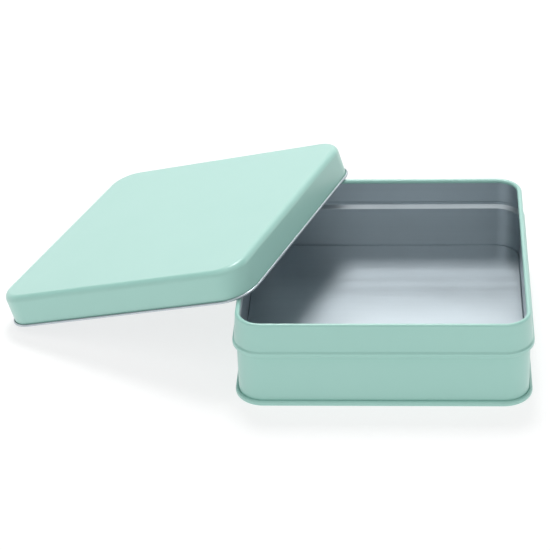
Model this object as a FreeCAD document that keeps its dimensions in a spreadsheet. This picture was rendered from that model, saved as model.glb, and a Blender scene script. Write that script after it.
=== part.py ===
"""A square slip-lid sweet tin, open, with its lid leaning on it. Millimetres, +Z up.

The tin stands on z = 0 with its centre line on the Z axis. Three pieces of sheet make it:
the wall, with its top curled inward into a rim and a ridge round it for the lid to stop on;
the bottom, with its edge rolled into the seam that the wall stands in;
and the lid, drawn from one sheet, with its edge curled outward into a hem.
The lid leans on the tin from the -X side. Its hem is on the ground there, and lies over the
rim on the tin's -X and +Y sides.
"""

import FreeCAD, Part
import os
from math import atan2, cos, hypot, radians, sin

import Sketcher

SIZES = {
    "sheet": 0.28,  # thickness of the tinplate
    "wall_half": 73.0,  # half the width across the lower wall's outer faces
    "corner_radius": 13.2,  # of the lower wall's outer face
    "tin_height": 47.6,
    "neck_height": 14.9,  # from the neck's foot to the top of the rim
    "neck_out": 1.2,  # how far the neck's foot stands out from the lower wall
    "neck_taper": 1.1,  # how far the neck draws in from its foot to the rim
    "shoulder_height": 1.1,  # from the ridge's flat crest up to the neck's foot
    "ridge_out": 2.0,  # how far the ridge stands out from the lower wall
    "ridge_flat": 1.0,  # height of the ridge's flat crest
    "step_height": 2.4,  # from the lower wall up to the ridge's flat crest
    "rim_curl": 2.5,  # outer diameter of the rim's curl
    "seam_out": 1.7,  # how far the bottom seam stands out from the lower wall
    "seam_height": 2.9,
    "seam_round": 1.1,
    "seam_web": 0.6,  # metal under the wall's lower edge
    "seam_gap": 0.05,  # each side of the wall in the seam
    "floor_height": 5.4,  # of the bottom's upper face
    "floor_bend": 0.8,  # outer radius of the bend round the bottom's panel
    "lid_clearance": 0.12,  # between the lid's side and the neck's foot, all round
    "lid_headroom": 2.32,  # between the rim and the lid's top, with the hem at the neck's foot
    "lid_bend": 3.0,  # outer radius round the lid's top
    "hem_curl": 1.4,  # outer diameter of the curl round the lid's edge
    "lid_turn": -19.5,  # degrees, about Z
    "lid_out": 36.6,  # from the tin's -X side out to the middle of the lid
    "lid_in": 33.3,  # from the tin's +Y side back to the middle of the lid
    "lid_gap": 0.3,  # between the lid's hem and the rim, measured upright
}

# What follows from the sizes: half widths and heights of the wall's turns, and the lid's size.
NECK_FOOT_HALF = "(wall_half + neck_out)"
NECK_TOP_HALF = "(wall_half + neck_out - neck_taper)"
RIDGE_HALF = "(wall_half + ridge_out)"
NECK_FOOT = "(tin_height - neck_height)"
RIDGE_TOP = "(tin_height - neck_height - shoulder_height)"
RIDGE_BOTTOM = "(tin_height - neck_height - shoulder_height - ridge_flat)"
STEP_FOOT = "(tin_height - neck_height - shoulder_height - ridge_flat - step_height)"
SEAM_HALF = "(wall_half + seam_out)"
LID_HALF = "(wall_half + neck_out + lid_clearance + sheet)"
LID_HEIGHT = "(neck_height + lid_headroom + sheet)"

HEM_STEPS = 48  # points along each rounded corner of the hem's middle line
LEAN_ROUNDS = 40  # to settle the lid on its rests
LEAN_START = -0.3  # the lid's slope before they are found

doc = FreeCAD.newDocument("tin")
sheet = doc.addObject("Spreadsheet::Sheet", "Sizes")
for row, (alias, value) in enumerate(SIZES.items(), start=1):
    sheet.set(f"A{row}", alias)
    sheet.set(f"B{row}", str(value))
    sheet.setAlias(f"B{row}", alias)
doc.recompute()


def size(expression):
    """The value of an expression in the sheet's aliases."""
    value = sheet.evalExpression(expression)
    return float(getattr(value, "Value", value))


def bound(expression):
    """The same expression as an object outside the sheet states it."""
    words = []
    word = ""
    for letter in expression + " ":
        if letter.isalpha() or letter == "_":
            word += letter
            continue
        words.append(f"Sizes.{word}" if word in SIZES else word)
        words.append(letter)
        word = ""
    return "".join(words).strip()


def new_body(name, label):
    body = doc.addObject("PartDesign::Body", name)
    body.Label = label
    return body


def new_sketch(body, name, plane, height="0"):
    """A sketch on one of the body's own planes, raised along the plane's normal."""
    origin_plane = next(f for f in body.Origin.OriginFeatures if f.Role == plane)
    sketch = body.newObject("Sketcher::SketchObject", name)
    sketch.AttachmentSupport = [(origin_plane, "")]
    sketch.MapMode = "FlatFace"
    sketch.setExpression(".AttachmentOffset.Base.z", bound(height))
    return sketch


def bend_arc(start, end, radius, turn):
    """An arc of at most half a circle from start to end, which turns left (1) or right (-1)."""
    chord = hypot(end[0] - start[0], end[1] - start[1])
    rise = max(radius**2 - chord**2 / 4, 0.0) ** 0.5
    across = (-(end[1] - start[1]) / chord, (end[0] - start[0]) / chord)
    centre = [(a + b) / 2 + turn * rise * c for a, b, c in zip(start, end, across)]
    first = atan2(start[1] - centre[1], start[0] - centre[0])
    last = atan2(end[1] - centre[1], end[0] - centre[0])
    if turn < 0:
        first, last = last, first
    circle = Part.Circle(FreeCAD.Vector(*centre, 0), FreeCAD.Vector(0, 0, 1), radius)
    return Part.ArcOfCircle(circle, first, last)


def draw_outline(sketch, corners):
    """A closed outline of corners (x, y) or (x, y, radius, turn).

    The radius and turn bend the edge that follows the corner.
    """
    count = len(corners)
    points = [(size(corner[0]), size(corner[1])) for corner in corners]
    starts = []
    for index, corner in enumerate(corners):
        start, end = points[index], points[(index + 1) % count]
        if len(corner) == 2:
            edge = Part.LineSegment(FreeCAD.Vector(*start, 0), FreeCAD.Vector(*end, 0))
            starts.append(1)
        else:
            edge = bend_arc(start, end, size(corner[2]), corner[3])
            starts.append(1 if corner[3] > 0 else 2)
        sketch.addGeometry(edge)
    for index in range(count):
        after = (index + 1) % count
        joined = (index, 3 - starts[index], after, starts[after])
        sketch.addConstraint(Sketcher.Constraint("Coincident", *joined))
    for index, corner in enumerate(corners):
        rules = [("DistanceX", corner[0]), ("DistanceY", corner[1])]
        if len(corner) > 2:
            rules.append(("Radius", corner[2]))
        for kind, expression in rules:
            place = (index,) if kind == "Radius" else (index, starts[index])
            number = sketch.addConstraint(Sketcher.Constraint(kind, *place, size(expression)))
            sketch.setExpression(f"Constraints[{number}]", bound(expression))


def draw_round_square(sketch, half, radius):
    """A square outline with rounded corners, centred on the origin, which starts halfway up its +X side."""
    flat = f"({half} - ({radius}))"
    corners = [(half, "0")]
    for sx, sy in ((1, 1), (-1, 1), (-1, -1), (1, -1)):
        side = (f"{sx} * ({half})", f"{sy} * {flat}")
        end = (f"{sx} * {flat}", f"{sy} * ({half})")
        first, second = (side, end) if sx * sy > 0 else (end, side)
        corners += [(*first, radius, 1), second]
    draw_outline(sketch, corners)


def sweep_round(body, name, section, path):
    pipe = body.newObject("PartDesign::AdditivePipe", name)
    pipe.Profile = section
    pipe.Spine = path
    return pipe


def add_plate(body, name, half, radius, underside):
    """A flat plate of the sheet's thickness, with its underside at the given height."""
    outline = new_sketch(body, f"{name}_outline", "XY_Plane", underside)
    draw_round_square(outline, half, radius)
    pad = body.newObject("PartDesign::Pad", name)
    pad.Profile = outline
    pad.setExpression("Length", "Sizes.sheet")
    return pad


def s_bend(low, high, rises_out):
    """Two equal arcs that join the upright lines at low and high on the outer face.

    Gives the point between the arcs on the outer face, the same on the inner face, and the
    arcs' radius on the outer face.
    """
    across = f"({high[0]} - {low[0]})" if rises_out else f"({low[0]} - {high[0]})"
    along = f"({high[1]} - {low[1]})"
    radius = f"(({across} * {across} + {along} * {along}) / (4 * {across}))"
    middle = (f"({low[0]} + {high[0]}) / 2", f"({low[1]} + {high[1]}) / 2")
    lean = "+" if rises_out else "-"
    inner = (
        f"{middle[0]} - sheet * (1 - {across} / (2 * {radius}))",
        f"{middle[1]} {lean} sheet * {along} / (2 * {radius})",
    )
    return middle, inner, radius


def make_wall():
    """The upright wall: lower wall, step, ridge, shoulder, tapered neck and the rim curled inward."""
    body = new_body("Wall", "wall")
    path = new_sketch(body, "wall_path", "XY_Plane")
    draw_round_square(path, "wall_half", "corner_radius")

    foot, under = ("wall_half", STEP_FOOT), (RIDGE_HALF, RIDGE_BOTTOM)
    over, neck = (RIDGE_HALF, RIDGE_TOP), (NECK_FOOT_HALF, NECK_FOOT)
    step, step_in, step_r = s_bend(foot, under, True)
    shoulder, shoulder_in, shoulder_r = s_bend(over, neck, False)
    curl, bore = "rim_curl / 2", "(rim_curl / 2 - sheet)"
    rim_x, rim_z = f"({NECK_TOP_HALF} - {curl})", f"(tin_height - {curl})"
    outer = [
        ("wall_half", "seam_web"),
        (*foot, step_r, -1),
        (*step, step_r, 1),
        under,
        (*over, shoulder_r, 1),
        (*shoulder, shoulder_r, -1),
        neck,
        (NECK_TOP_HALF, rim_z, curl, 1),
        (rim_x, "tin_height", curl, 1),
        (f"{rim_x} - {curl}", rim_z, curl, 1),
        (rim_x, "tin_height - rim_curl"),
    ]
    inner = [
        (rim_x, "tin_height - rim_curl + sheet", bore, -1),
        (f"{rim_x} - {bore}", rim_z, bore, -1),
        (rim_x, "tin_height - sheet", bore, -1),
        (f"{NECK_TOP_HALF} - sheet", rim_z),
        (f"{NECK_FOOT_HALF} - sheet", NECK_FOOT, f"({shoulder_r} + sheet)", 1),
        (*shoulder_in, f"({shoulder_r} - sheet)", -1),
        (f"{RIDGE_HALF} - sheet", RIDGE_TOP),
        (f"{RIDGE_HALF} - sheet", RIDGE_BOTTOM, f"({step_r} - sheet)", -1),
        (*step_in, f"({step_r} + sheet)", 1),
        ("wall_half - sheet", STEP_FOOT),
        ("wall_half - sheet", "seam_web"),
    ]
    section = new_sketch(body, "wall_section", "XZ_Plane")
    draw_outline(section, outer + inner)
    sweep_round(body, "wall_sheet", section, path)
    return body


def make_bottom():
    """The bottom: a panel raised on a short upright fold, and the rolled seam that grips the wall's edge."""
    body = new_body("Bottom", "bottom")
    fold = "(wall_half - sheet - seam_gap)"
    panel = f"({fold} - floor_bend)"
    corner = f"(corner_radius - wall_half + {panel})"
    add_plate(body, "bottom_panel", panel, corner, "floor_height - sheet")

    path = new_sketch(body, "seam_path", "XY_Plane")
    draw_round_square(path, "wall_half", "corner_radius")
    bend_z = "floor_height - floor_bend"
    groove = "wall_half + seam_gap"
    roll = f"({SEAM_HALF} - seam_round)"
    corners = [
        (panel, "floor_height", "floor_bend", -1),
        (fold, bend_z),
        (fold, "seam_web"),
        (groove, "seam_web"),
        (groove, "seam_height"),
        (roll, "seam_height", "seam_round", -1),
        (SEAM_HALF, "seam_height - seam_round"),
        (SEAM_HALF, "seam_round", "seam_round", -1),
        (roll, "0"),
        (f"{fold} - sheet", "0"),
        (f"{fold} - sheet", bend_z, "floor_bend - sheet", 1),
        (panel, "floor_height - sheet"),
    ]
    section = new_sketch(body, "seam_section", "XZ_Plane")
    draw_outline(section, corners)
    sweep_round(body, "bottom_seam", section, path)
    return body


def make_lid():
    """The lid with its open side down: a flat top, a round bend, the side and the curled hem."""
    body = new_body("Lid", "lid")
    corner = f"(corner_radius + {LID_HALF} - wall_half)"
    top = f"({LID_HALF} - lid_bend)"
    add_plate(body, "lid_top", top, f"({corner} - lid_bend)", f"{LID_HEIGHT} - sheet")

    path = new_sketch(body, "lid_path", "XY_Plane")
    draw_round_square(path, LID_HALF, corner)
    bend_z = f"{LID_HEIGHT} - lid_bend"
    curl, bore = "(hem_curl / 2)", "(hem_curl / 2 - sheet)"
    hem_x = f"({LID_HALF} - sheet + {curl})"
    corners = [
        (top, LID_HEIGHT, "lid_bend", -1),
        (LID_HALF, bend_z),
        (LID_HALF, curl, bore, 1),
        (hem_x, "sheet", bore, 1),
        (f"{hem_x} + {bore}", curl, bore, 1),
        (hem_x, f"{curl} + {bore}"),
        (hem_x, "hem_curl", curl, -1),
        (f"{hem_x} + {curl}", curl, curl, -1),
        (hem_x, "0", curl, -1),
        (f"{LID_HALF} - sheet", curl),
        (f"{LID_HALF} - sheet", bend_z, "lid_bend - sheet", 1),
        (top, f"{LID_HEIGHT} - sheet"),
    ]
    section = new_sketch(body, "lid_section", "XZ_Plane")
    draw_outline(section, corners)
    sweep_round(body, "lid_side", section, path)
    return body


def hem_line():
    """Points along the middle of the hem's curl, in the lid's own frame."""
    middle = size(f"{LID_HALF} - sheet + hem_curl / 2")
    centre = size("wall_half - corner_radius")
    points = []
    for quarter, (sx, sy) in enumerate(((1, 1), (-1, 1), (-1, -1), (1, -1))):
        for step in range(HEM_STEPS + 1):
            angle = radians(90 * (quarter + step / HEM_STEPS))
            x = sx * centre + (middle - centre) * cos(angle)
            y = sy * centre + (middle - centre) * sin(angle)
            points.append(FreeCAD.Vector(x, y, size("hem_curl / 2")))
    return points


def crossings(line, axis, level):
    """The points where a closed line crosses a level of its x (axis 0) or y (axis 1)."""
    found = []
    for start, end in zip(line, line[1:] + line[:1]):
        if (start[axis] - level) * (end[axis] - level) < 0:
            found.append(start + (end - start) * ((level - start[axis]) / (end[axis] - start[axis])))
    return found


def lean_lid():
    """The lid's place, from its three rests: on the ground, and over the rim's -X and +Y sides.

    The plane of the hem's middle line goes through the rests, which move as the plane tilts.
    """
    rim = size(f"{NECK_TOP_HALF} - rim_curl / 2")
    seat = size("tin_height + hem_curl / 2 + lid_gap")
    upright = FreeCAD.Vector(0, 0, 1)
    turn = FreeCAD.Rotation(upright, size("lid_turn"))
    middle = FreeCAD.Vector(size("-wall_half - lid_out"), size("wall_half - lid_in"), seat / 2)
    normal = FreeCAD.Vector(LEAN_START, 0, 1)
    hem = hem_line()
    for _ in range(LEAN_ROUNDS):
        place = FreeCAD.Placement(middle, FreeCAD.Rotation(upright, normal) * turn)
        line = [place.multVec(point) for point in hem]
        left = min(crossings(line, 0, -rim), key=lambda point: point.y)
        back = max(crossings(line, 1, rim), key=lambda point: point.x)
        low = min(line, key=lambda point: point.z)
        left.z = back.z = seat
        low = FreeCAD.Vector(low.x, low.y, size("hem_curl / 2"))
        normal = (low - back).cross(left - back).normalize()
        if normal.z < 0:
            normal = -normal
        in_plane = middle + upright * ((back - middle).dot(normal) / normal.z)
        middle = in_plane - upright * (size("hem_curl / 2") / normal.z)
    return FreeCAD.Placement(middle, FreeCAD.Rotation(upright, normal) * turn)


def check_and_write(bodies):
    """Stops on a failed object or a bad solid, then writes one file for each body."""
    failed = [obj.Name for obj in doc.Objects if {"Invalid", "Error"} & set(obj.State)]
    if failed:
        raise RuntimeError(f"failed: {failed}")
    os.makedirs("parts", exist_ok=True)
    for body in bodies:
        shape = body.Shape
        if shape.isNull() or not shape.isValid() or len(shape.Solids) != 1:
            raise RuntimeError(f"{body.Label} isn't one valid solid")
        shape.exportStep(f"parts/{body.Label}.step")
        print(body.Label, round(shape.Volume, 1), "mm3", body.Placement)


wall = make_wall()
bottom = make_bottom()
lid = make_lid()
lid.Placement = lean_lid()
doc.recompute()
check_and_write([wall, bottom, lid])
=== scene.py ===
"""An open, empty square slip-lid tin with its lid leaning on it. Metres, +Z up.

Three pieces stand for the frame's three nodes: the wall with its curled rim and the ridge that the
lid stops on, the bottom with its rolled seam, and the lid with its curled hem. The tin stands on
z = 0 with its centre line on the Z axis. The sheet is painted mint on the outside only, so bare
metal shows inside, and wherever a curl turns the inside of the sheet out.
"""

from math import asin, atan2, cos, hypot, pi, radians, sin, sqrt

import bmesh
import bpy
from bpy.props import FloatProperty, FloatVectorProperty, IntProperty, PointerProperty
from mathutils import Matrix, Vector


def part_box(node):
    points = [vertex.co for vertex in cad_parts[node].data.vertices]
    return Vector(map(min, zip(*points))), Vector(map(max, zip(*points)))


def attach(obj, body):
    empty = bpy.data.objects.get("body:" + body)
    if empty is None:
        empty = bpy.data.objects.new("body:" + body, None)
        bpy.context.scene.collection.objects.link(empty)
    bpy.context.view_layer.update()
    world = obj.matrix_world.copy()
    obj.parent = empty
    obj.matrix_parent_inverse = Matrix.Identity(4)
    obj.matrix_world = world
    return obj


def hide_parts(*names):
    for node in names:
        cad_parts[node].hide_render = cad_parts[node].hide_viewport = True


bl_info = {
    "name": "Slip-lid tin",
    "version": (1, 0, 0),
    "blender": (4, 5, 0),
    "location": "View3D > Sidebar > Tin",
    "description": "Models an open square slip-lid tin, its leaning lid and a plain studio",
    "category": "Object",
}

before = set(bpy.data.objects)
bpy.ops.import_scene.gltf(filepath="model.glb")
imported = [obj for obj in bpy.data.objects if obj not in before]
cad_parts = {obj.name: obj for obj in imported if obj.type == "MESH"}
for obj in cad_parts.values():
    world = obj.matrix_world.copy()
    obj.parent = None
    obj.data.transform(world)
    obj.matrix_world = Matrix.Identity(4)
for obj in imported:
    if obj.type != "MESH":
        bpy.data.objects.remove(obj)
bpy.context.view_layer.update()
WALL_LOW, WALL_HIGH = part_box("wall")
BOTTOM_LOW, BOTTOM_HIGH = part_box("bottom")

TOUCHING = 1e-6  # metres within which two points count as one
SEED = 0.001  # width, in metres, of the plane that a section's first point is merged from
QUARTER = pi / 2
CRISP = radians(35)  # edges that turn further than this stay crisp
FACING = 0.1  # a face's normal reaches at least this far along a way that it faces
NOISE_MIDDLE = 0.5  # the value that noise varies about
SENSOR_WIDTH = 36.0  # millimetres
VIEW_END = 50.0  # metres, past all that the camera has to see


def length(name, description, default):
    return FloatProperty(
        name=name, description=description, default=default, min=0, precision=5, unit="LENGTH"
    )


def share(name, description, default):
    return FloatProperty(
        name=name, description=description, default=default, min=0, max=1, subtype="FACTOR"
    )


def count(name, description, default):
    return IntProperty(name=name, description=description, default=default, min=1)


def colour(name, description, default):
    return FloatVectorProperty(
        name=name, description=description, default=default, size=3, min=0, max=1, subtype="COLOR"
    )


# --- Sizes and finishes that a user would change -------------------------------------------------


class TinSizes(bpy.types.PropertyGroup):
    """The wall and the bottom."""

    sheet: length("Sheet", "Thickness of the tinplate", 0.00028)
    ridge_half: length("Ridge", "Half the width across the ridge", WALL_HIGH.x)
    ridge_out: length("Ridge out", "How far the ridge stands out from the lower wall", 0.002)
    ridge_flat: length("Ridge flat", "Height of the ridge's flat crest", 0.0014)
    step_height: length("Step", "From the lower wall up to the ridge's crest", 0.002)
    shoulder_height: length("Shoulder", "From the ridge's crest up to the neck", 0.0011)
    step_bend: length("Step bend", "Radius of the step's bends", 0.0004)
    shoulder_bend: length("Shoulder bend", "Radius of the shoulder's bends", 0.0003)
    corner_radius: length("Corner radius", "Radius of the lower wall's corners", 0.0132)
    height: length("Height", "Height of the open tin", WALL_HIGH.z)
    neck_height: length("Neck", "From the neck's foot to the top of the rim", 0.0149)
    neck_out: length("Neck out", "How far the neck's foot stands out from the lower wall", 0.0012)
    neck_taper: length("Neck taper", "How far the neck draws in towards the rim", 0.0011)
    rim_curl: length("Rim curl", "Outer diameter of the rim's curl", 0.0025)
    foot: length("Wall foot", "Height of the wall's lower edge", WALL_LOW.z)
    seam_half: length("Seam", "Half the width across the bottom seam", BOTTOM_HIGH.x)
    seam_height: length("Seam height", "Height of the bottom seam", 0.0029)
    seam_round: length("Seam round", "Radius of the seam's outer edges", 0.0011)
    seam_lip: length("Seam lip", "Radius of the seam's edge along the wall", 0.0004)
    seam_gap: length("Seam gap", "Each side of the wall in the seam", 0.00005)
    floor_height: length("Floor", "Height of the bottom's upper face", BOTTOM_HIGH.z)
    floor_bend: length("Floor bend", "Radius of the bend round the bottom's panel", 0.0008)
    corner_steps: count("Corner steps", "Faces round each corner", 20)
    side_steps: count("Side steps", "Faces along each half side", 6)
    bend_steps: count("Bend steps", "Faces round each bend of the ridge and of the bottom", 5)
    rim_steps: count("Rim steps", "Faces round the rim's curl", 18)
    seam_steps: count("Seam steps", "Faces round each outer edge of the seam", 6)
    lip_steps: count("Lip steps", "Faces round the seam's edge along the wall", 4)


class LidSizes(bpy.types.PropertyGroup):
    """The lid, as it is before it leans on the tin."""

    clearance: length("Clearance", "Between the lid's side and the neck's foot", 0.00012)
    headroom: length("Headroom", "Between the rim and the closed lid's top", 0.00232)
    bend: length("Bend", "Outer radius round the lid's top", 0.0035)
    hem_curl: length("Hem curl", "Outer diameter of the curl round the lid's edge", 0.0014)
    bend_steps: count("Bend steps", "Faces round the bend of the lid's top", 10)
    hem_steps: count("Hem steps", "Faces round the hem's curl", 15)


class PaintLook(bpy.types.PropertyGroup):
    """The mint coating."""

    mint: colour("Mint", "Colour of the coating", (0.352, 0.638, 0.567))
    mint_deep: colour("Mint, deep", "Where the coating is a shade fuller", (0.338, 0.624, 0.552))
    roughness: share("Roughness", "Of the satin coating", 0.40)
    varnish: share("Varnish", "Share of the clear varnish over the coating", 0.8)
    varnish_roughness: share("Varnish roughness", "Of the clear varnish", 0.38)
    mottle: length("Mottle", "Width of the coating's soft clouds", 0.03)
    peel: length("Peel", "Width of the coating's ripples", 0.0009)
    peel_depth: length("Peel depth", "Depth of the coating's ripples", 0.000004)
    mottle_sheen: share("Mottle sheen", "How far the clouds vary the roughness", 0.05)
    peel_sheen: share("Peel sheen", "How far the ripples vary the roughness", 0.03)


class TinplateLook(bpy.types.PropertyGroup):
    """The bare tinplate."""

    metal: colour("Metal", "Colour of the bare tinplate", (0.58, 0.64, 0.675))
    metal_dull: colour("Metal, dull", "Where lines, smears and clouds dull it", (0.48, 0.54, 0.58))
    roughness: share("Roughness", "Of the bare tinplate", 0.40)
    line: length("Rolling line", "Width of the lines that rolling leaves", 0.0004)
    line_run: length("Rolling run", "Length of those lines", 0.03)
    line_depth: length("Line depth", "Depth of those lines", 0.000002)
    smear: count("Smear", "Rolling lines across one soft smear that runs along them", 12)
    bloom: length("Bloom", "Width of the plate's soft clouds", 0.022)
    line_tone: share("Line tone", "Share of the lines in the dull colour", 0.3)
    smear_tone: share("Smear tone", "Share of the smears in the dull colour", 0.3)
    bloom_tone: share("Bloom tone", "Share of the clouds in the dull colour", 0.4)
    line_sheen: share("Line sheen", "How far the lines vary the roughness", 0.04)
    smear_sheen: share("Smear sheen", "How far the smears vary the roughness", 0.10)
    bloom_sheen: share("Bloom sheen", "How far the clouds vary the roughness", 0.10)


class StudioSetup(bpy.types.PropertyGroup):
    """The floor, the lights and the camera."""

    camera_place: FloatVectorProperty(
        name="Camera", description="Where the camera stands", size=3, unit="LENGTH",
        default=(0.02003, -0.92321, 0.60702),
    )
    camera_down: FloatProperty(
        name="Down", description="How far the camera looks down", unit="ROTATION",
        default=radians(31.871),
    )
    camera_heading: FloatProperty(
        name="Heading", description="How far the camera looks to the left of +Y", unit="ROTATION",
        default=radians(4.785),
    )
    camera_roll: FloatProperty(
        name="Roll", description="Turn of the camera about its view", unit="ROTATION",
        default=radians(-2.622),
    )
    lens: FloatProperty(
        name="Lens", description="Focal length, in millimetres", default=136.53, unit="CAMERA"
    )
    backdrop_radius: length("Backdrop", "From the tin to the low wall round the floor", 4.0)
    backdrop_height: length("Backdrop height", "Height of that wall", 1.5)
    backdrop_sides: count("Backdrop sides", "Faces round that wall", 128)
    paper_colour: colour("Paper", "Colour of the floor and the backdrop", (0.28, 0.28, 0.28))
    paper_roughness: share("Paper roughness", "Of the floor and the backdrop", 0.9)
    grains: FloatProperty(
        name="Grains", description="Grains of the paper to a metre", default=900.0, min=0
    )
    grain_shade: share("Grain shade", "A grain's colour as a share of the paper's", 0.985)
    floor_glow: FloatProperty(
        name="Floor glow", description="Light that the floor gives of itself", default=0.74, min=0
    )
    backdrop_glow: FloatProperty(
        name="Backdrop glow", description="Light that the backdrop gives of itself", default=0.78,
        min=0,
    )
    sky: FloatProperty(name="Sky", description="Strength of the even light", default=0.12, min=0)
    sky_colour: colour("Sky colour", "Colour of the even light", (0.96, 0.985, 1.0))


# --- Shader maths --------------------------------------------------------------------------------


class Wire:
    """A socket's value in a finish, with Python's operators for the maths on it."""

    def __init__(self, finish, socket):
        self.finish = finish
        self.socket = socket

    def maths(self, operation, first, second):
        return self.finish.node("ShaderNodeMath", {"operation": operation}, {0: first, 1: second})

    def __add__(self, other):
        return self.maths("ADD", self, other)

    def __radd__(self, other):
        return self.maths("ADD", other, self)

    def __sub__(self, other):
        return self.maths("SUBTRACT", self, other)

    def __rsub__(self, other):
        return self.maths("SUBTRACT", other, self)

    def __mul__(self, other):
        return self.maths("MULTIPLY", self, other)

    def __rmul__(self, other):
        return self.maths("MULTIPLY", other, self)


class Finish:
    """A material with its shader, and the nodes that vary it over a surface."""

    def __init__(self, name):
        self.material = bpy.data.materials.new(name)
        self.material.use_nodes = True
        self.tree = self.material.node_tree
        self.shader = self.tree.nodes["Principled BSDF"]

    def node(self, kind, settings, inputs, output=0):
        """Adds a node, with its settings first, and gives one of its outputs."""
        made = self.tree.nodes.new(kind)
        for setting, value in settings.items():
            setattr(made, setting, value)
        self.fill(made, inputs)
        return Wire(self, made.outputs[output])

    def fill(self, made, inputs):
        """Sets a node's sockets to values, or links them."""
        for socket, value in inputs.items():
            if isinstance(value, Wire):
                self.tree.links.new(value.socket, made.inputs[socket])
            else:
                made.inputs[socket].default_value = value

    def set(self, **inputs):
        """Sets the shader's own sockets, named with _ for a space."""
        self.fill(self.shader, {name.replace("_", " "): value for name, value in inputs.items()})

    def place(self, turn=(0.0, 0.0, 0.0), stretch=(1.0, 1.0, 1.0)):
        """The point on the piece, turned and then stretched along the axes."""
        point = self.node("ShaderNodeTexCoord", {}, {}, "Object")
        turned = self.node(
            "ShaderNodeMapping", {"vector_type": "POINT"}, {"Vector": point, "Rotation": turn}
        )
        return self.node(
            "ShaderNodeVectorMath", {"operation": "MULTIPLY"}, {0: turned, 1: stretch}
        )

    def noise(self, point, scale, detail=2.0, roughness=0.5):
        return self.node(
            "ShaderNodeTexNoise",
            {"noise_dimensions": "3D"},
            {"Vector": point, "Scale": scale, "Detail": detail, "Roughness": roughness},
            "Fac",
        )

    def blend(self, factor, first, second):
        """A colour from first to second."""
        return self.node(
            "ShaderNodeMix",
            {"data_type": "RGBA"},
            {"Factor": factor, 6: (*first, 1.0), 7: (*second, 1.0)},
            2,
        )

    def bump(self, height, depth):
        """A normal from a height between 0 and 1 that stands for a depth in metres."""
        return self.node(
            "ShaderNodeBump", {}, {"Height": height, "Distance": depth, "Strength": 1.0}
        )


def mint_paint(name, look):
    """Satin mint coating: soft clouds of colour, and the fine ripple of a rolled coat."""
    finish = Finish(name)
    point = finish.place()
    cloud = finish.noise(point, 1 / look.mottle, detail=3.0)
    ripple = finish.noise(point, 1 / look.peel, detail=2.0)
    finish.set(
        Base_Color=finish.blend(cloud, look.mint, look.mint_deep),
        Roughness=look.roughness
        + look.mottle_sheen * (cloud - NOISE_MIDDLE)
        + look.peel_sheen * (ripple - NOISE_MIDDLE),
        Coat_Weight=look.varnish,
        Coat_Roughness=look.varnish_roughness,
        Normal=finish.bump(ripple, look.peel_depth),
    )
    return finish.material


def bare_tinplate(name, look, turn, run):
    """Bare rolled tinplate. Its rolling lines run along the axes that run marks as True."""
    finish = Finish(name)
    stretch = [1 / look.line_run if along else 1 / look.line for along in run]
    point = finish.place(turn)
    rolled = finish.place(turn, stretch)
    lines = finish.noise(rolled, 1.0, detail=3.0, roughness=0.6)
    smears = finish.noise(rolled, 1 / look.smear, detail=3.0)
    bloom = finish.noise(point, 1 / look.bloom, detail=4.0, roughness=0.55)
    tone = look.line_tone * lines + look.smear_tone * smears + look.bloom_tone * bloom
    finish.set(
        Base_Color=finish.blend(tone, look.metal, look.metal_dull),
        Metallic=1.0,
        Roughness=look.roughness
        + look.line_sheen * (lines - NOISE_MIDDLE)
        + look.smear_sheen * (smears - NOISE_MIDDLE)
        + look.bloom_sheen * (bloom - NOISE_MIDDLE),
        Normal=finish.bump(lines, look.line_depth),
    )
    return finish.material


# --- Modelling -----------------------------------------------------------------------------------


def s_bend(across, along, radius):
    """Turn of the two arcs, and length of the slope between them, that join two upright lines."""
    reach = across - 2 * radius
    centres = hypot(reach, along)
    turn = atan2(reach, along) + asin(2 * radius / centres)
    return turn, sqrt(centres**2 - 4 * radius**2)


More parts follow.
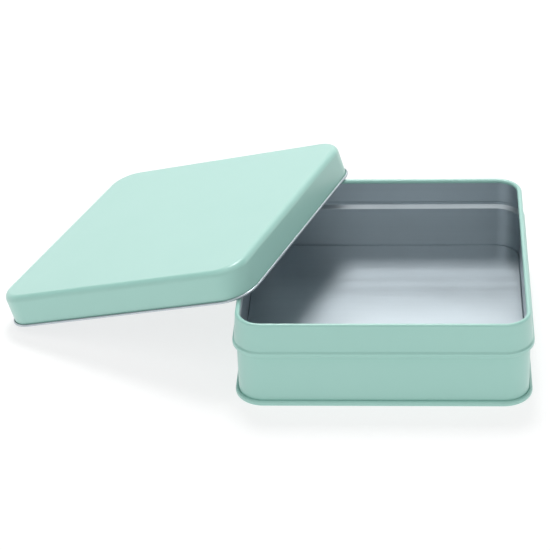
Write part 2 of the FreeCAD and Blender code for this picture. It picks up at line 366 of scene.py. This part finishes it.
class Section:
    """A piece's upright section, drawn in edit mode through the centre of one rounded corner."""

    def __init__(self, name, corner, x, z):
        bpy.ops.object.select_all(action="DESELECT")
        bpy.ops.mesh.primitive_plane_add(size=SEED, location=(x, corner, z))
        bpy.ops.object.transform_apply(location=True, rotation=False, scale=False)
        self.piece = bpy.context.object
        self.piece.name = name
        self.piece.data.name = name
        self.corner = corner
        self.x = x
        self.z = z
        bpy.ops.object.mode_set(mode="EDIT")
        bpy.ops.mesh.select_mode(type="VERT")
        bpy.ops.mesh.select_all(action="SELECT")
        bpy.ops.mesh.merge(type="CENTER")

    def line_to(self, x, z):
        """Draws a straight line to a point."""
        step = (x - self.x, 0, z - self.z)
        bpy.ops.mesh.extrude_vertices_move(TRANSFORM_OT_translate={"value": step})
        self.x, self.z = x, z

    def arc(self, radius, side, turn, steps):
        """Turns about the point a radius to the side, a direction (x, z); left turns are positive.

        Gives the side on which that point lies at the arc's end.
        """
        arm = Vector(side) * radius
        centre = Vector((self.x + arm.x, self.corner, self.z + arm.y))
        bpy.ops.mesh.spin(steps=steps, angle=turn, center=centre, axis=(0, 1, 0))
        arm.rotate(Matrix.Rotation(turn, 2))
        self.x, self.z = centre.x - arm.x, centre.z - arm.y
        return arm.normalized()

    def slope(self, way, across, along, radius, steps):
        """Goes up from one upright line to another that lies outwards, or inwards if way is -1."""
        turn, straight = s_bend(across, along, radius)
        side = self.arc(radius, (way, 0), -way * turn, steps)
        run = Vector((way * sin(turn), cos(turn))) * straight
        self.line_to(self.x + run.x, self.z + run.y)
        self.arc(radius, -side, way * turn, steps)

    def sweep(self, corner_steps, side_steps):
        """Carries the section round one corner to the middle of two sides, then mirrors it."""
        corner = self.corner
        bpy.ops.mesh.select_all(action="SELECT")
        bpy.ops.mesh.spin(
            steps=corner_steps, angle=QUARTER, center=(corner, corner, 0), axis=(0, 0, -1)
        )
        self.run_out((-corner / side_steps, 0, 0), side_steps)
        self.pick_points(lambda point: abs(point.y - corner) < TOUCHING and point.x > corner)
        self.run_out((0, -corner / side_steps, 0), side_steps)
        bpy.ops.object.mode_set(mode="OBJECT")
        bpy.ops.object.modifier_add(type="MIRROR")
        mirror = self.piece.modifiers[-1]
        mirror.use_axis = (True, True, False)
        mirror.merge_threshold = TOUCHING
        bpy.ops.object.modifier_apply(modifier=mirror.name)
        bpy.ops.object.mode_set(mode="EDIT")
        bpy.ops.mesh.select_all(action="SELECT")
        bpy.ops.mesh.remove_doubles(threshold=TOUCHING)

    def run_out(self, step, steps):
        """Extrudes what is selected a number of times."""
        for _ in range(steps):
            bpy.ops.mesh.extrude_region_move(TRANSFORM_OT_translate={"value": step})

    def pick_points(self, wanted):
        """Selects the points that pass a test on their place, and nothing else."""
        bpy.ops.mesh.select_all(action="DESELECT")
        mesh = bmesh.from_edit_mesh(self.piece.data)
        for vertex in mesh.verts:
            if wanted(vertex.co):
                vertex.select_set(True)
        mesh.select_flush(True)
        bmesh.update_edit_mesh(self.piece.data)

    def fill_panel(self, half, z):
        """Closes the flat panel inside the sweep at a height."""
        reach = half + TOUCHING
        self.pick_points(
            lambda point: abs(point.z - z) < TOUCHING and max(abs(point.x), abs(point.y)) < reach
        )
        bpy.ops.mesh.edge_face_add()

    def face_outwards(self):
        """Points the faces out, which is up on the highest of them."""
        bpy.ops.mesh.select_all(action="SELECT")
        bpy.ops.mesh.normals_make_consistent(inside=False)
        mesh = bmesh.from_edit_mesh(self.piece.data)
        highest = max(mesh.faces, key=lambda face: face.calc_center_median().z)
        if highest.normal.z < 0:
            bpy.ops.mesh.flip_normals()

    def thicken(self, sheet):
        """Gives the sheet its thickness inwards, and its inside and edges the next material."""
        bpy.ops.object.mode_set(mode="OBJECT")
        bpy.ops.object.modifier_add(type="SOLIDIFY")
        wall = self.piece.modifiers[-1]
        wall.thickness = sheet
        wall.offset = -1.0
        wall.use_even_offset = True
        wall.material_offset = 1
        wall.material_offset_rim = 1
        bpy.ops.object.modifier_apply(modifier=wall.name)

    def smooth(self):
        """Smooth faces with crisp cut edges, whose large flat faces stay flat."""
        if self.piece.mode == "EDIT":
            bpy.ops.object.mode_set(mode="OBJECT")
        bpy.ops.object.shade_smooth_by_angle(angle=CRISP)
        bpy.ops.object.modifier_add(type="WEIGHTED_NORMAL")
        weighted = self.piece.modifiers[-1]
        weighted.keep_sharp = True
        bpy.ops.object.modifier_apply(modifier=weighted.name)


def hand_over(piece, node):
    """Puts the finished piece in a CAD node's stead, on the one body."""
    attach(piece, "root")
    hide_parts(node)


def lid_place():
    """The leaning lid's place and turn, read from the flat faces of the frame's lid.

    Its top is the largest that faces up, and its far side the largest that faces mostly along +Y.
    """
    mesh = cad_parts["lid"].data
    flats = {}
    for face in mesh.polygons:
        way = tuple(round(part, 3) for part in face.normal)
        flats[way] = flats.get(way, Vector()) + face.area * face.normal
    flats = sorted(flats.values(), key=lambda flat: flat.length, reverse=True)
    up = next(flat for flat in flats if flat.z > 0).normalized()
    away = next(flat for flat in flats if flat.y > 2 * abs(flat.x) and flat.y > 2 * abs(flat.z))
    away = (away - up * away.dot(up)).normalized()
    turn = Matrix((away.cross(up), away, up)).transposed()
    points = [turn.transposed() @ vertex.co for vertex in mesh.vertices]
    low = [min(point[axis] for point in points) for axis in range(3)]
    high = [max(point[axis] for point in points) for axis in range(3)]
    middle = Vector(((low[0] + high[0]) / 2, (low[1] + high[1]) / 2, low[2]))
    return Matrix.Translation(turn @ middle) @ turn.to_4x4()


def paint_and_metal(piece, run, turn=(0.0, 0.0, 0.0)):
    """Mint outside and bare inside, with the metal's rolling lines along the axes in run."""
    scene = bpy.context.scene
    piece.data.materials.append(mint_paint(f"{piece.name}_mint", scene.paint_look))
    piece.data.materials.append(
        bare_tinplate(f"{piece.name}_tinplate", scene.tinplate_look, turn, run)
    )


# --- Operators -----------------------------------------------------------------------------------


class TIN_OT_wall(bpy.types.Operator):
    """Models the wall: foot, step, ridge, shoulder, tapered neck and the rim curled inward"""

    bl_idname = "tin.wall"
    bl_label = "Wall"

    def execute(self, context):
        tin = context.scene.tin_sizes
        lower = tin.ridge_half - tin.ridge_out
        corner = lower - tin.corner_radius
        neck_half = lower + tin.neck_out
        neck_foot = tin.height - tin.neck_height
        crest_top = neck_foot - tin.shoulder_height
        crest_foot = crest_top - tin.ridge_flat
        curl = tin.rim_curl / 2

        section = Section("wall_shell", corner, lower, tin.foot)
        section.line_to(lower, crest_foot - tin.step_height)
        section.slope(1, tin.ridge_out, tin.step_height, tin.step_bend, tin.bend_steps)
        section.line_to(tin.ridge_half, crest_top)
        section.slope(
            -1, tin.ridge_half - neck_half, tin.shoulder_height, tin.shoulder_bend, tin.bend_steps
        )
        section.line_to(neck_half - tin.neck_taper, tin.height - curl)
        section.arc(curl, (-1, 0), 3 * QUARTER, tin.rim_steps)
        section.sweep(tin.corner_steps, tin.side_steps)
        section.face_outwards()
        paint_and_metal(section.piece, (True, True, False))
        section.thicken(tin.sheet)
        section.smooth()
        hand_over(section.piece, "wall")
        return {"FINISHED"}


class TIN_OT_bottom(bpy.types.Operator):
    """Models the bottom: the raised panel, its fold, and the seam rolled round the wall's edge"""

    bl_idname = "tin.bottom"
    bl_label = "Bottom"

    def execute(self, context):
        tin = context.scene.tin_sizes
        lower = tin.ridge_half - tin.ridge_out
        fold = lower - tin.sheet - tin.seam_gap
        panel = fold - tin.floor_bend
        underside = tin.floor_height - tin.sheet
        groove = lower + tin.seam_gap
        corner = lower - tin.corner_radius

        section = Section("bottom_shell", corner, panel, tin.floor_height)
        section.arc(tin.floor_bend, (0, -1), -QUARTER, tin.bend_steps)
        section.line_to(fold, tin.foot)
        section.line_to(groove, tin.foot)
        section.line_to(groove, tin.seam_height - tin.seam_lip)
        section.arc(tin.seam_lip, (1, 0), -QUARTER, tin.lip_steps)
        section.line_to(tin.seam_half - tin.seam_round, tin.seam_height)
        section.arc(tin.seam_round, (0, -1), -QUARTER, tin.seam_steps)
        section.line_to(tin.seam_half, tin.seam_round)
        section.arc(tin.seam_round, (-1, 0), -QUARTER, tin.seam_steps)
        section.line_to(fold - tin.sheet, 0)
        section.line_to(fold - tin.sheet, tin.floor_height - tin.floor_bend)
        section.arc(tin.floor_bend - tin.sheet, (-1, 0), QUARTER, tin.bend_steps)
        section.sweep(tin.corner_steps, tin.side_steps)
        section.fill_panel(panel, tin.floor_height)
        section.fill_panel(panel, underside)
        section.face_outwards()
        section.smooth()
        paint_and_metal(section.piece, (True, False, False))
        self.bare_inside(section.piece, corner, fold)
        hand_over(section.piece, "bottom")
        return {"FINISHED"}

    def bare_inside(self, piece, corner, fold):
        """Bare metal on what faces up or outwards, as far out as the fold's outer face."""
        for face in piece.data.polygons:
            outwards = Vector((face.center.x, face.center.y, 0)).normalized()
            beyond = (max(abs(part) - corner, 0) for part in face.center.xy)
            within = corner + hypot(*beyond) < fold + TOUCHING
            facing = face.normal.dot(outwards + Vector((0, 0, 1))) > FACING
            face.material_index = int(within and facing)


class TIN_OT_lid(bpy.types.Operator):
    """Models the lid: the flat top, the round bend, the side and the curled hem, then leans it"""

    bl_idname = "tin.lid"
    bl_label = "Lid"

    def execute(self, context):
        tin = context.scene.tin_sizes
        lid = context.scene.lid_sizes
        lower = tin.ridge_half - tin.ridge_out
        half = lower + tin.neck_out + lid.clearance + tin.sheet
        height = tin.neck_height + lid.headroom + tin.sheet
        curl = lid.hem_curl / 2
        top = half - lid.bend

        section = Section("lid_shell", lower - tin.corner_radius, top, height)
        section.arc(lid.bend, (0, -1), -QUARTER, lid.bend_steps)
        section.line_to(half, curl)
        section.arc(curl - tin.sheet, (1, 0), 3 * QUARTER, lid.hem_steps)
        section.sweep(tin.corner_steps, tin.side_steps)
        section.fill_panel(top, height)
        section.face_outwards()
        place = lid_place()
        turn_back = place.to_3x3().transposed().to_euler()
        paint_and_metal(section.piece, (True, False, False), turn_back)
        section.thicken(tin.sheet)
        section.piece.matrix_world = place
        bpy.ops.object.transform_apply(location=True, rotation=True, scale=False)
        section.smooth()
        hand_over(section.piece, "lid")
        return {"FINISHED"}


class TIN_OT_studio(bpy.types.Operator):
    """Sets the pale floor, the soft lights and the camera"""

    bl_idname = "tin.studio"
    bl_label = "Studio"

    def execute(self, context):
        studio = context.scene.studio_setup
        self.lay_floor(studio)
        self.light_sky(context.scene, studio)
        self.hang_light(
            "softbox_over", azimuth=8, height=65, distance=1.6, spread=(0.5, 0.45), glow=23.0
        )
        self.hang_light(
            "softbox_back", azimuth=0, height=30, distance=2.3, spread=(3.2, 0.85), glow=1.5
        )
        self.hang_light(
            "softbox_top", azimuth=180, height=62, distance=2.0, spread=(3.4, 1.5), glow=0.98
        )
        self.stand_camera(context.scene, studio)
        context.scene.view_settings.view_transform = "Standard"
        return {"FINISHED"}

    def lay_floor(self, studio):
        """A flat floor, and a low pale wall round it that closes the views from the side."""
        bpy.ops.object.select_all(action="DESELECT")
        bpy.ops.mesh.primitive_plane_add(size=2 * studio.backdrop_radius, location=(0, 0, 0))
        self.paper("studio_floor", studio, studio.floor_glow)
        bpy.ops.object.select_all(action="DESELECT")
        bpy.ops.mesh.primitive_cylinder_add(
            vertices=studio.backdrop_sides, radius=studio.backdrop_radius,
            depth=studio.backdrop_height, end_fill_type="NOTHING",
            location=(0, 0, studio.backdrop_height / 2),
        )
        self.paper("studio_backdrop", studio, studio.backdrop_glow)

    def paper(self, name, studio, glow):
        """Finishes the new stage piece as faintly grained paper that glows a little."""
        piece = bpy.context.object
        piece.name = name
        finish = Finish(name)
        grain = finish.noise(finish.place(), studio.grains)
        pale = studio.paper_colour
        finish.set(
            Base_Color=finish.blend(grain, pale, [studio.grain_shade * part for part in pale]),
            Roughness=studio.paper_roughness,
            Emission_Color=(1.0, 1.0, 1.0, 1.0),
            Emission_Strength=glow,
        )
        piece.data.materials.append(finish.material)

    def light_sky(self, scene, studio):
        """Even light from all round, which fills the shadows."""
        scene.world = bpy.data.worlds.new("studio_sky")
        scene.world.use_nodes = True
        background = scene.world.node_tree.nodes["Background"]
        background.inputs["Color"].default_value = (*studio.sky_colour, 1.0)
        background.inputs["Strength"].default_value = studio.sky

    def hang_light(self, name, azimuth, height, distance, spread, glow):
        """A rectangular soft light that faces the tin and is as bright as its glow.

        Its azimuth, to the left of +Y, and its height over the floor are in degrees.
        """
        place = Vector((0, distance, 0))
        place.rotate(Matrix.Rotation(radians(height), 3, "X"))
        place.rotate(Matrix.Rotation(radians(azimuth), 3, "Z"))
        aim = (-place).to_track_quat("-Z", "Y").to_euler()
        bpy.ops.object.light_add(type="AREA", location=place, rotation=aim)
        lamp = bpy.context.object
        lamp.name = name
        lamp.data.shape = "RECTANGLE"
        lamp.data.size, lamp.data.size_y = spread
        lamp.data.energy = glow * pi * spread[0] * spread[1]
        lamp.visible_camera = False

    def stand_camera(self, scene, studio):
        """Rolls the camera about its view, tilts it from straight down, and turns it."""
        bpy.ops.object.camera_add(location=studio.camera_place)
        camera = bpy.context.object
        camera.name = "studio_camera"
        heading = Matrix.Rotation(studio.camera_heading, 3, "Z")
        tilt = Matrix.Rotation(pi / 2 - studio.camera_down, 3, "X")
        roll = Matrix.Rotation(studio.camera_roll, 3, "Z")
        camera.rotation_euler = (heading @ tilt @ roll).to_euler()
        camera.data.sensor_width = SENSOR_WIDTH
        camera.data.lens = studio.lens
        camera.data.clip_end = VIEW_END
        scene.camera = camera


class TIN_PT_pieces(bpy.types.Panel):
    """Lists the pieces, and the sizes and finishes that they are made from"""

    bl_label = "Slip-lid tin"
    bl_space_type = "VIEW_3D"
    bl_region_type = "UI"
    bl_category = "Tin"

    def draw(self, context):
        for operator in ("tin.wall", "tin.bottom", "tin.lid", "tin.studio"):
            self.layout.operator(operator)
        for name in SETTINGS:
            group = getattr(context.scene, name)
            box = self.layout.box()
            box.label(text=name.replace("_", " "))
            for value in group.bl_rna.properties:
                if not value.is_readonly and value.identifier != "name":
                    box.prop(group, value.identifier)


SETTINGS = {
    "tin_sizes": TinSizes,
    "lid_sizes": LidSizes,
    "paint_look": PaintLook,
    "tinplate_look": TinplateLook,
    "studio_setup": StudioSetup,
}
CLASSES = (
    *SETTINGS.values(),
    TIN_OT_wall,
    TIN_OT_bottom,
    TIN_OT_lid,
    TIN_OT_studio,
    TIN_PT_pieces,
)


def register():
    for added in CLASSES:
        bpy.utils.register_class(added)
    for name, group in SETTINGS.items():
        setattr(bpy.types.Scene, name, PointerProperty(type=group))


def unregister():
    for name in SETTINGS:
        delattr(bpy.types.Scene, name)
    for added in reversed(CLASSES):
        bpy.utils.unregister_class(added)


def main():
    register()
    bpy.ops.tin.wall()
    bpy.ops.tin.bottom()
    bpy.ops.tin.lid()
    bpy.ops.tin.studio()


if __name__ == "__main__":
    main()
